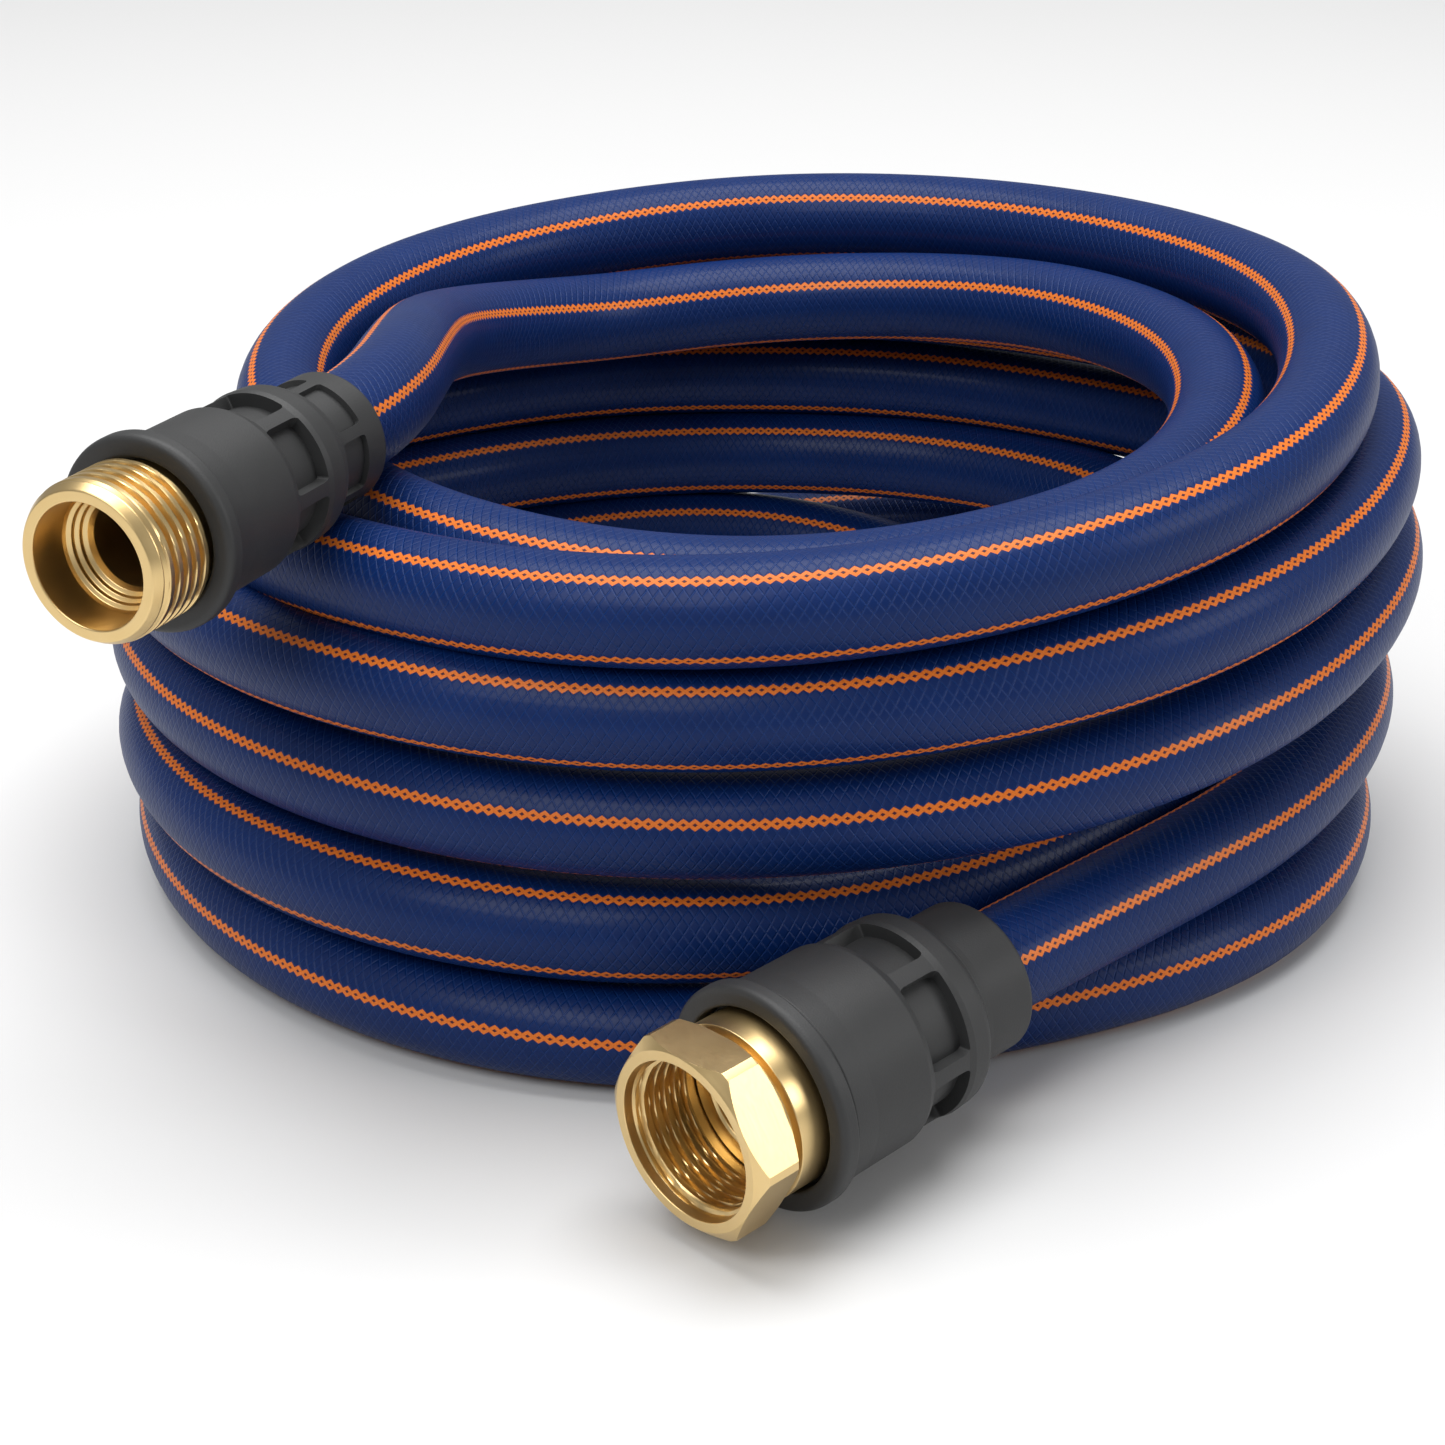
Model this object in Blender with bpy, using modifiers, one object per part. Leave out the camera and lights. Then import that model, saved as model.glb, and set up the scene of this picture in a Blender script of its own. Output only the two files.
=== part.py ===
"""Coiled garden hose with a brass swivel nut at one end and a brass thread at the other.

Millimetres in the constants, metres in the scene. +Z is up and the hose lies on the floor, z = 0.
The coil is a turned ring of stacked turns. The hose's two free stretches are tubes. Each fitting is
modelled about its own axis, with its mouth at z = 0 and its hose end at negative z.
"""

from math import asin, cos, degrees, pi, radians, sin

import bmesh
import bpy
from mathutils import Vector

MM = 0.001
GAP = 0.3

# Hose and coil
HOSE_D = 18.5
HOSE_R = HOSE_D / 2
LAYER_PITCH = 18.6
LAYER_RADII = (112.4, 115.0, 117.5, 116.0)
COIL_CENTRE_Y = -2.0
COIL_STEPS = 44
NOTCH_LAYER = 1
NOTCH_START = -78.0
NOTCH_END = 4.0
TUBE_STEP = 2.1 * HOSE_D

# Thread of the couplings
THREAD_PITCH = 2.209
MALE_CREST_R = 13.495
MALE_ROOT_R = 12.35
FEMALE_CREST_R = 12.65
FEMALE_ROOT_R = 13.6
THREAD_COUNT = 5
RIDGE_RISE = 0.38

# Collars, from the lip to the hose
BARREL_LENGTH = 22.3
WAIST_LENGTH = 9.4
REAR_RING_LENGTH = 7.3
WAIST_DROP = 0.8

# Female end
FEMALE_MOUTH = (-10.8, -161.9, 20.3)
FEMALE_TURN = 44.5
FEMALE_RISE = 3.5
NUT_FLATS = 31.2
NUT_CORNER_R = 17.6
NUT_BAND_R = 15.35
NUT_FACE_R = 15.5
NUT_MOUTH_R = 13.8
HEX_LENGTH = 8.8
GROOVE_LENGTH = 1.6
NUT_LENGTH = 19.2
NUT_THREAD_START = 2.0
NUT_BACK_WALL = 2.0
NUT_HOLE_R = 8.9
FACE_CHAMFER = 1.5
SEAT_FLANGE_R = FEMALE_ROOT_R - GAP
SEAT_FLANGE_LENGTH = 1.9
SEAT_DEPTH = NUT_LENGTH - NUT_BACK_WALL - GAP - SEAT_FLANGE_LENGTH
FEMALE_LIP_START = 15.8
FEMALE_SLEEVE_LENGTH = 12.2
FEMALE_LENGTH = FEMALE_LIP_START + BARREL_LENGTH + WAIST_LENGTH + REAR_RING_LENGTH + FEMALE_SLEEVE_LENGTH
FEMALE_LIP_R = 19.7
FEMALE_BARREL_R = 18.2
FEMALE_SLEEVE_R = 13.5

# Male end
MALE_MOUTH = (-102.7, -131.4, 103.9)
MALE_TURN = 63.2
MALE_RISE = 0.4
MALE_LIP_START = 14.6
MALE_SLEEVE_LENGTH = 13.4
MALE_LENGTH = MALE_LIP_START + BARREL_LENGTH + WAIST_LENGTH + REAR_RING_LENGTH + MALE_SLEEVE_LENGTH
MALE_LIP_R = 16.6
MALE_BARREL_R = 14.7
MALE_SLEEVE_R = 11.5
MALE_HOLE_R = 10.5
MALE_HOLE_DEPTH = 7.0
MALE_FACE_R = 12.4
MALE_THREAD_START = 3.0

# Shared by both fittings
STEM_R = 8.5
BORE_R = 7.2
STEM_END = 40.0
SLEEVE_CLEARANCE = 0.3
SLEEVE_EXIT = 4.0
ROOM_PAST_SLEEVE = 52.0
LEAD_ROOM = 1.5
WINDOWS = 6
WINDOW_SWEEP = 48.0
WINDOW_DEPTH = 2.3
WINDOW_MARGIN = 0.6
REAR_WINDOW_DEPTH = 1.0
REAR_WINDOW_FRONT = 1.0
REAR_WINDOW_BACK = 5.8
ROUND_STEPS = 32

# Routes of the free stretches. The lead's are azimuth in degrees, radius and height. The top turns' are
# azimuth, radius and rise over a hose that lies on the coil's top turn.
LEAD_ROUTE = ((-48, 111.0, 27.9), (-30, 113.0, 27.9), (-12, 115.0, 27.9))
TOP_ROUTE = (
    (188, 115.0, 0.0), (208, 112.0, 0.0), (225, 107.0, -1.4), (270, 115.5, 3.8), (315, 113.0, 11.1),
    (360, 106.5, 18.1), (405, 104.3, 14.1), (450, 105.4, 10.0), (495, 99.5, 6.1),
    (540, 92.0, 2.6), (585, 88.5, -0.1), (630, 96.5, 1.1), (675, 92.5, 4.1),
    (720, 87.0, 7.1), (765, 86.5, 3.5), (786, 86.0, 0.7), (810, 84.2, -1.2), (840, 75.4, -1.7),
)
TOP_END_ROUTE = ((-63.4, 17.0, 4.6), (-63.0, -5.0, 10.5), (-65.6, -48.0, 19.0))


def material(name, colour, roughness, metallic=0.0):
    made = bpy.data.materials.new(name)
    made.use_nodes = True
    shader = made.node_tree.nodes["Principled BSDF"]
    shader.inputs["Base Color"].default_value = (*colour, 1.0)
    shader.inputs["Roughness"].default_value = roughness
    shader.inputs["Metallic"].default_value = metallic
    made.diffuse_color = (*colour, 1.0)
    return made


def collection(name):
    made = bpy.data.collections.new(name)
    bpy.context.scene.collection.children.link(made)
    return made


def empty(name, parts, location=(0, 0, 0), parent=None):
    made = bpy.data.objects.new(name, None)
    made.empty_display_size = 0.02
    made.location = Vector(location) * MM
    made.parent = parent
    parts.objects.link(made)
    return made


def add(name, data, group, parent, surface=None):
    made = bpy.data.objects.new(name, data)
    made.parent = parent
    group.objects.link(made)
    if surface is not None:
        data.materials.append(surface)
    return made


def add_cutter(name, data, group, parent):
    made = add(name, data, group, parent)
    made.hide_render = True
    made.display_type = "WIRE"
    return made


def loop_mesh(name, profile):
    """Closed loop of (radius, height) points in the plane y = 0."""
    mesh = bpy.data.meshes.new(name)
    points = [(r * MM, 0.0, z * MM) for r, z in profile]
    count = len(points)
    mesh.from_pydata(points, [(i, (i + 1) % count) for i in range(count)], [])
    return mesh


def turn(made, steps):
    screw = made.modifiers.new("Turned", "SCREW")
    screw.angle = 2 * pi
    screw.steps = steps
    screw.render_steps = steps
    screw.use_merge_vertices = True
    screw.merge_threshold = 0.00001
    screw.use_smooth_shade = False
    return made


def cut(made, cutter):
    boolean = made.modifiers.new("Cut by " + cutter.name, "BOOLEAN")
    boolean.operation = "DIFFERENCE"
    boolean.solver = "EXACT"
    boolean.object = cutter


def sectors_mesh(name, inner, outer, low, high, starts, sweep, steps):
    """Blocks of a ring between two radii and two heights, one at each start angle."""
    bm = bmesh.new()
    for start in starts:
        angle = radians(start)
        corners = ((inner, low), (outer, low), (outer, high), (inner, high))
        verts = [bm.verts.new((r * cos(angle) * MM, r * sin(angle) * MM, z * MM)) for r, z in corners]
        face = bm.faces.new(verts)
        bmesh.ops.spin(bm, geom=[face, *face.edges, *face.verts], cent=(0, 0, 0), axis=(0, 0, 1),
                       angle=radians(sweep), steps=steps, use_duplicate=False)
    bmesh.ops.recalc_face_normals(bm, faces=bm.faces)
    mesh = bpy.data.meshes.new(name)
    bm.to_mesh(mesh)
    bm.free()
    return mesh


def arc(radius, centre_r, centre_z, start, end, count):
    """Points on an arc in the profile plane, angles in degrees from +radius towards +height."""
    angles = [radians(start + (end - start) * i / (count - 1)) for i in range(count)]
    return [(centre_r + radius * cos(a), centre_z + radius * sin(a)) for a in angles]


def layer_height(layer):
    return HOSE_R + layer * LAYER_PITCH


def coil_profile():
    """Section of the stacked turns: the outer side from top to bottom, then the inner side back up."""
    layers = range(len(LAYER_RADII))
    outer, inner = [], []
    for layer in reversed(layers):
        start = 90 if layer == layers[-1] else 60
        end = -90 if layer == 0 else -60
        outer += arc(HOSE_R, LAYER_RADII[layer], layer_height(layer), start, end, 6)
    for layer in layers:
        start = 270 if layer == 0 else 240
        end = 90 if layer == layers[-1] else 120
        inner += arc(HOSE_R, LAYER_RADII[layer], layer_height(layer), start, end, 6)
    return outer + inner[1:-1]


def polar(azimuth, radius, height):
    angle = radians(azimuth)
    return Vector((radius * cos(angle), radius * sin(angle), height))


def smooth_points(before, points, step):
    """Points at an even step along a smooth curve through the given ones, that comes from before."""
    points = [before, *points, points[-1] * 2 - points[-2]]
    dense = []
    for a, b, c, d in zip(points, points[1:], points[2:], points[3:]):
        for i in range(24):
            t = i / 24
            dense.append(0.5 * (2 * b + (c - a) * t + (2 * a - 5 * b + 4 * c - d) * t * t
                                + (3 * b - a - 3 * c + d) * t ** 3))
    dense.append(points[-2])
    lengths = [0.0]
    for a, b in zip(dense, dense[1:]):
        lengths.append(lengths[-1] + (b - a).length)
    count = max(2, round(lengths[-1] / step))
    even, place = [], 0
    for i in range(count + 1):
        target = lengths[-1] * i / count
        while place < len(dense) - 2 and lengths[place + 1] < target:
            place += 1
        share = (target - lengths[place]) / (lengths[place + 1] - lengths[place])
        even.append(dense[place].lerp(dense[place + 1], share))
    return even


def tube(name, points, radius, group, parent, surface=None):
    curve = bpy.data.curves.new(name, "CURVE")
    curve.dimensions = "3D"
    curve.bevel_depth = radius * MM
    curve.bevel_resolution = 4
    curve.use_fill_caps = True
    spline = curve.splines.new("POLY")
    spline.points.add(len(points) - 1)
    for point, place in zip(spline.points, points):
        point.co = (*(place * MM), 1.0)
    return add(name, curve, group, parent, surface)


def rearward(turn_degrees, rise_degrees):
    """Direction from a fitting's mouth to its hose end."""
    turn_angle, rise = radians(turn_degrees), radians(rise_degrees)
    return Vector((cos(rise) * cos(turn_angle), cos(rise) * sin(turn_angle), sin(rise)))


def fitting_frame(name, mouth, direction, parts, parent):
    """Empty at the mouth of a fitting, with +Z pointing out of it."""
    frame = empty(name, parts, mouth, parent)
    frame.rotation_euler = (-direction).to_track_quat("Z", "Y").to_euler()
    return frame


def flip(profile):
    """Profile given as (radius, depth from the mouth), as (radius, height)."""
    return [(r, -depth) for r, depth in profile]


def ridges(low, high, start, count):
    """Thread ridges as turned V rings, starting and ending on the low radius."""
    points = []
    for i in range(count):
        base = start + i * THREAD_PITCH
        rise = RIDGE_RISE * THREAD_PITCH
        points += [(low, base), (high, base + rise), (high, base + THREAD_PITCH - rise)]
    return points + [(low, start + count * THREAD_PITCH)]


def collar_places(lip_start):
    """Depths where a collar's barrel, windowed waist and rear ring end."""
    barrel_end = lip_start + BARREL_LENGTH
    waist_end = barrel_end + WAIST_LENGTH
    return barrel_end, waist_end, waist_end + REAR_RING_LENGTH


def collar_profile(lip_start, lip_r, barrel_r, sleeve_r, length, recess_r, recess_depth):
    barrel_end, waist_end, step = collar_places(lip_start)
    waist_r = barrel_r - WAIST_DROP
    outer = [
        (lip_r - 1.6, lip_start), (lip_r - 0.4, lip_start + 0.5), (lip_r, lip_start + 1.6),
        (lip_r, lip_start + 3.2), (barrel_r + 0.3, lip_start + 4.3), (barrel_r, lip_start + 5.4),
        (barrel_r, barrel_end), (waist_r + 0.2, barrel_end + 1.4), (waist_r, waist_end),
        (waist_r - 0.7, waist_end + 3.0), (sleeve_r + 1.2, step - 0.6), (sleeve_r + 0.5, step + 0.8),
        (sleeve_r, step + 2.2), (sleeve_r, length - 0.8), (sleeve_r - 0.6, length),
    ]
    hose_hole = HOSE_R + SLEEVE_CLEARANCE
    stem_hole = STEM_R + SLEEVE_CLEARANCE
    recess_end = lip_start + recess_depth
    inner = [
        (hose_hole, length), (hose_hole, STEM_END), (stem_hole, STEM_END),
        (stem_hole, recess_end), (recess_r, recess_end), (recess_r, lip_start),
    ]
    return flip(outer + inner)


def add_windows(collar, floor, front, back, start, cutters, frame):
    """Cut a row of shallow windows into a collar, from one depth to another."""
    name = collar.name + "_windows_" + str(len(collar.modifiers))
    starts = [start + 360 / WINDOWS * i for i in range(WINDOWS)]
    outside = 2 * FEMALE_LIP_R
    mesh = sectors_mesh(name, floor, outside, -back, -front, starts, WINDOW_SWEEP, 8)
    cut(collar, add_cutter(name, mesh, cutters, frame))


def add_collar(name, lip_start, profile, barrel_r, group, cutters, frame, surface):
    made = turn(add(name, loop_mesh(name, profile), group, frame, surface), ROUND_STEPS)
    barrel_end, waist_end, _ = collar_places(lip_start)
    rib = 360 / WINDOWS - WINDOW_SWEEP
    add_windows(made, barrel_r - WAIST_DROP - WINDOW_DEPTH, barrel_end + WINDOW_MARGIN,
                waist_end - WINDOW_MARGIN, rib / 2, cutters, frame)
    return made


def female_end(group, cutters, root, brass, plastic):
    direction = rearward(FEMALE_TURN, FEMALE_RISE)
    frame = fitting_frame("female_axis", FEMALE_MOUTH, direction, group, root)

    groove_r = NUT_BAND_R - 1.2
    nut_profile = flip([
        (NUT_FACE_R, 0.0), (NUT_CORNER_R, FACE_CHAMFER), (NUT_CORNER_R, HEX_LENGTH - 0.8),
        (NUT_FACE_R + 0.9, HEX_LENGTH), (groove_r, HEX_LENGTH + 0.3),
        (groove_r, HEX_LENGTH + GROOVE_LENGTH), (NUT_BAND_R, HEX_LENGTH + GROOVE_LENGTH + 0.4),
        (NUT_BAND_R, NUT_LENGTH - 0.6), (NUT_BAND_R - 0.6, NUT_LENGTH),
        (NUT_HOLE_R, NUT_LENGTH), (NUT_HOLE_R, NUT_LENGTH - NUT_BACK_WALL),
        (FEMALE_ROOT_R, NUT_LENGTH - NUT_BACK_WALL),
        *reversed(ridges(FEMALE_ROOT_R, FEMALE_CREST_R, NUT_THREAD_START, THREAD_COUNT)),
        (NUT_MOUTH_R, 0.0),
    ])
    nut = turn(add("female_nut", loop_mesh("female_nut", nut_profile), group, frame, brass), ROUND_STEPS)
    flats_r = NUT_FLATS / 2 / cos(pi / 6)
    outside = 2 * NUT_CORNER_R
    flats = [(flats_r, 1.0), (outside, 1.0), (outside, -HEX_LENGTH - 0.1), (flats_r, -HEX_LENGTH - 0.1)]
    cutter = add_cutter("nut_flats", loop_mesh("nut_flats", flats), cutters, frame)
    turn(cutter, 6)
    cut(nut, cutter)

    tailpiece_profile = flip([
        (SEAT_FLANGE_R, SEAT_DEPTH), (SEAT_FLANGE_R, SEAT_DEPTH + SEAT_FLANGE_LENGTH),
        (STEM_R, SEAT_DEPTH + SEAT_FLANGE_LENGTH), (STEM_R, STEM_END - GAP),
        (BORE_R, STEM_END - GAP), (BORE_R, SEAT_DEPTH + 0.8), (BORE_R + 1.6, SEAT_DEPTH),
    ])
    tailpiece = add("female_tailpiece", loop_mesh("female_tailpiece", tailpiece_profile), group, frame, brass)
    turn(tailpiece, ROUND_STEPS)

    profile = collar_profile(FEMALE_LIP_START, FEMALE_LIP_R, FEMALE_BARREL_R, FEMALE_SLEEVE_R,
                             FEMALE_LENGTH, NUT_BAND_R + 0.7, NUT_LENGTH - FEMALE_LIP_START + 0.6)
    add_collar("female_collar", FEMALE_LIP_START, profile, FEMALE_BARREL_R, group, cutters, frame, plastic)
    return frame, direction


def male_end(group, cutters, root, brass, plastic):
    direction = rearward(MALE_TURN, MALE_RISE)
    frame = fitting_frame("male_axis", MALE_MOUTH, direction, group, root)
    thread_end = MALE_THREAD_START + THREAD_COUNT * THREAD_PITCH
    neck_r = MALE_ROOT_R - 0.4
    neck_end = MALE_LIP_START + 2.0
    profile = flip([
        (MALE_FACE_R, 0.0), (MALE_FACE_R + 0.5, 0.5),
        *ridges(MALE_FACE_R + 0.1, MALE_CREST_R, MALE_THREAD_START, THREAD_COUNT),
        (neck_r, thread_end + 0.3), (neck_r, neck_end),
        (STEM_R, neck_end), (STEM_R, STEM_END - GAP), (BORE_R, STEM_END - GAP),
        (BORE_R, MALE_HOLE_DEPTH + 4.0), (BORE_R + 1.5, MALE_HOLE_DEPTH),
        (MALE_HOLE_R, MALE_HOLE_DEPTH), (MALE_HOLE_R, 0.6), (MALE_HOLE_R + 0.5, 0.0),
    ])
    turn(add("male_fitting", loop_mesh("male_fitting", profile), group, frame, brass), ROUND_STEPS)
    profile = collar_profile(MALE_LIP_START, MALE_LIP_R, MALE_BARREL_R, MALE_SLEEVE_R,
                             MALE_LENGTH, MALE_CREST_R - 0.6, neck_end + 2 * GAP - MALE_LIP_START)
    collar = add_collar("male_collar", MALE_LIP_START, profile, MALE_BARREL_R, group, cutters, frame, plastic)
    _, _, step = collar_places(MALE_LIP_START)
    add_windows(collar, MALE_SLEEVE_R - REAR_WINDOW_DEPTH, step + REAR_WINDOW_FRONT,
                MALE_LENGTH - REAR_WINDOW_BACK, 180 / WINDOWS, cutters, frame)
    return direction


def hose_from(mouth, direction, length, route):
    """Points of a hose, straight out of its collar and then smoothly along a route."""
    cut_end = Vector(mouth) + direction * (STEM_END + GAP)
    leaves = Vector(mouth) + direction * (length + SLEEVE_EXIT)
    return [cut_end, *smooth_points(cut_end, [leaves, *route], TUBE_STEP)]


def lead_end():
    """Where the lead's cut end meets the end of the notch, edge to face."""
    radius = LAYER_RADII[NOTCH_LAYER]
    tilt = asin(TUBE_STEP / 2 / radius)
    back = degrees((HOSE_R * sin(tilt) + GAP) / radius)
    return polar(NOTCH_END - back, radius, layer_height(NOTCH_LAYER)) + Vector((0, COIL_CENTRE_Y, 0))


def envelope_mesh(name):
    """Room that the female collar and the nut take up in the coil, as a turned solid."""
    _, waist_end, step = collar_places(FEMALE_LIP_START)
    barrel_room = FEMALE_BARREL_R + 2 * GAP
    profile = flip([
        (FEMALE_LIP_R + GAP, FEMALE_LIP_START - 5.0), (FEMALE_LIP_R + GAP, FEMALE_LIP_START + 5.0),
        (barrel_room, FEMALE_LIP_START + 6.0), (barrel_room, waist_end + 1.0),
        (FEMALE_SLEEVE_R + 1.8, step + 2.0), (FEMALE_SLEEVE_R + GAP, FEMALE_LENGTH + GAP),
        (HOSE_R + LEAD_ROOM, FEMALE_LENGTH + GAP), (HOSE_R + LEAD_ROOM, FEMALE_LENGTH + ROOM_PAST_SLEEVE),
        (1.0, FEMALE_LENGTH + ROOM_PAST_SLEEVE), (1.0, FEMALE_LIP_START - 5.0),
    ])
    return loop_mesh(name, profile)


def hose(group, cutters, root, jacket, female_frame, female_direction, male_direction):
    coil = add("hose_coil", loop_mesh("hose_coil", coil_profile()), group, root, jacket)
    coil.location = (0, COIL_CENTRE_Y * MM, 0)
    turn(coil, COIL_STEPS)

    notch_low = layer_height(NOTCH_LAYER) - HOSE_R - GAP
    notch_high = layer_height(NOTCH_LAYER) + HOSE_R + GAP
    steps = round((NOTCH_END - NOTCH_START) / 360 * COIL_STEPS)
    inside = min(LAYER_RADII) - HOSE_D
    outside = max(LAYER_RADII) + HOSE_D
    mesh = sectors_mesh("lead_notch", inside, outside, notch_low, notch_high, [NOTCH_START],
                        NOTCH_END - NOTCH_START, steps)
    notch = add_cutter("lead_notch", mesh, cutters, root)
    notch.location = coil.location
    cut(coil, notch)

    room = add_cutter("collar_room", envelope_mesh("collar_room"), cutters, female_frame)
    turn(room, ROUND_STEPS)
    cut(coil, room)

    route = [polar(*place) for place in LEAD_ROUTE] + [lead_end()]
    lead = hose_from(FEMALE_MOUTH, female_direction, FEMALE_LENGTH, route)
    tube("female_lead", lead, HOSE_R, group, root, jacket)

    seat = layer_height(len(LAYER_RADII) - 1) + HOSE_D + GAP
    route = [polar(azimuth, radius, seat + rise) for azimuth, radius, rise in TOP_ROUTE]
    route += [Vector((x, y, seat + rise)) for x, y, rise in TOP_END_ROUTE]
    top = hose_from(MALE_MOUTH, male_direction, MALE_LENGTH, route[::-1])
    tube("top_turns", top, HOSE_R, group, root, jacket)


def stand_on_origin(root, group):
    """Move the root so that the middle of the hose's box is over the origin."""
    bpy.context.view_layer.update()
    graph = bpy.context.evaluated_depsgraph_get()
    corners = []
    for made in group.objects:
        if made.type in {"MESH", "CURVE"}:
            shown = made.evaluated_get(graph)
            mesh = shown.to_mesh()
            corners += [made.matrix_world @ vert.co for vert in mesh.vertices]
            shown.to_mesh_clear()
    for axis in (0, 1):
        values = [corner[axis] for corner in corners]
        root.location[axis] -= (min(values) + max(values)) / 2
    bpy.context.view_layer.update()


def main():
    for made in list(bpy.data.objects):
        bpy.data.objects.remove(made, do_unlink=True)
    group = collection("garden_hose")
    cutters = collection("cutters")
    root = empty("garden_hose", group)
    jacket = material("hose_jacket", (0.012, 0.05, 0.26), 0.38)
    brass = material("brass", (0.83, 0.62, 0.28), 0.24, 1.0)
    plastic = material("charcoal_plastic", (0.035, 0.036, 0.038), 0.5)
    female_frame, female_direction = female_end(group, cutters, root, brass, plastic)
    male_direction = male_end(group, cutters, root, brass, plastic)
    hose(group, cutters, root, jacket, female_frame, female_direction, male_direction)
    stand_on_origin(root, group)


main()
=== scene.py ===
# %% [markdown]
# # A coiled garden hose
# The real thing is one length of hose, wound into a loose coil, with a brass swivel nut on the end
# that goes on the tap and a brass male thread on the end that takes a nozzle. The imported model
# already fixes every size and place, so this lesson starts by loading it and keeps to its frame.
# %% Load the frame
from math import atan2, cos, degrees, pi, radians, sin, tan

import bmesh
import bpy
import numpy as np
from mathutils import Matrix, Vector


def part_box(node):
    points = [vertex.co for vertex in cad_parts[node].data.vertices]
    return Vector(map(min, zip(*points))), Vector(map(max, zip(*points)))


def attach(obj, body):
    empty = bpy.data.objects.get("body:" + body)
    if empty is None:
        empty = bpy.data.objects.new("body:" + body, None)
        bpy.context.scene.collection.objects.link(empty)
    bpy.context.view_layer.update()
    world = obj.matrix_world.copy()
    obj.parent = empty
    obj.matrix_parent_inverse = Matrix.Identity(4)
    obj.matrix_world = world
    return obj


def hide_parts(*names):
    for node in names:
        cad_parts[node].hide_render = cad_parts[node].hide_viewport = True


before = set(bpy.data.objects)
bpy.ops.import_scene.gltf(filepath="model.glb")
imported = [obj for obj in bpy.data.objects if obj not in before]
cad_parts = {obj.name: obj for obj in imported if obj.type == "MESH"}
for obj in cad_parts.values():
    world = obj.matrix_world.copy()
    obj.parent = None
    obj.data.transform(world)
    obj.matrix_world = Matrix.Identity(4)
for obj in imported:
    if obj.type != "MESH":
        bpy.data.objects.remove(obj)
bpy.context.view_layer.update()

scene = bpy.context.scene
MM = 0.001
WINDING_AHEAD = 2.0
coil_low, coil_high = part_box("hose_coil")
winding_axis = Vector(((coil_low.x + coil_high.x) / 2, (coil_low.y + coil_high.y) / 2, 0.0)) / MM
winding_axis.y += WINDING_AHEAD
print("winding axis", [round(v, 2) for v in winding_axis], "mm")

# %% [markdown]
# ## The camera
# The photograph looks down on the coil at about 24 degrees from a little over half a metre away,
# with the nut nearest to the lens. A long lens on a full-frame sensor gives the same perspective.
# The camera comes first, because the hose is laid to match what it sees.
# %% Camera
EYE_FROM_WINDING = Vector((0.0, -590.4, 286.4))
LOOKS_DOWN = radians(24.40)
LOOKS_LEFT = radians(0.634)
LENS_MM = 80.2

camera_data = bpy.data.cameras.new("camera")
camera_data.lens = LENS_MM
camera_data.sensor_width = 36.0
camera_data.clip_start = 0.02
camera = bpy.data.objects.new("camera", camera_data)
camera.location = (winding_axis + EYE_FROM_WINDING) * MM
camera.rotation_euler = (pi / 2 - LOOKS_DOWN, 0.0, LOOKS_LEFT)
scene.collection.objects.link(camera)
scene.camera = camera
print("camera at", [round(v, 4) for v in camera.location], "lens", LENS_MM, "mm")

# %% [markdown]
# ## Where the two fittings lie
# Each fitting is turned about its own axis. Its place is one point, the middle of its mouth, and one
# direction, from the mouth back to the hose. The coil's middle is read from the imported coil, and the
# other places are given from there, in millimetres.
# %% Places of the two ends
HOSE_D = 18.5
HOSE_R = HOSE_D / 2
FEMALE_MOUTH, FEMALE_TURN, FEMALE_RISE, FEMALE_LENGTH = (-10.8, -161.9, 20.3), 44.5, 3.5, 67.0
MALE_MOUTH, MALE_TURN, MALE_RISE, MALE_LENGTH = (-102.7, -131.4, 103.9), 63.2, 0.4, 67.0
STEM_END = 40.0


def rearward(turn_degrees, rise_degrees):
    """Direction from a fitting's mouth to its hose end."""
    turn, rise = radians(turn_degrees), radians(rise_degrees)
    return Vector((cos(rise) * cos(turn), cos(rise) * sin(turn), sin(rise)))


def placement(mouth, direction):
    """Matrix that puts a fitting's own mouth and axis, +Z out of the mouth, in the frame."""
    spin = (-direction).to_track_quat("Z", "Y").to_matrix().to_4x4()
    return Matrix.Translation((winding_axis + mouth) * MM) @ spin


female_mouth, male_mouth = Vector(FEMALE_MOUTH), Vector(MALE_MOUTH)
female_back = rearward(FEMALE_TURN, FEMALE_RISE)
male_back = rearward(MALE_TURN, MALE_RISE)
female_place = placement(female_mouth, female_back)
male_place = placement(male_mouth, male_back)
print("female mouth", FEMALE_MOUTH, "male mouth", MALE_MOUTH)

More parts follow.
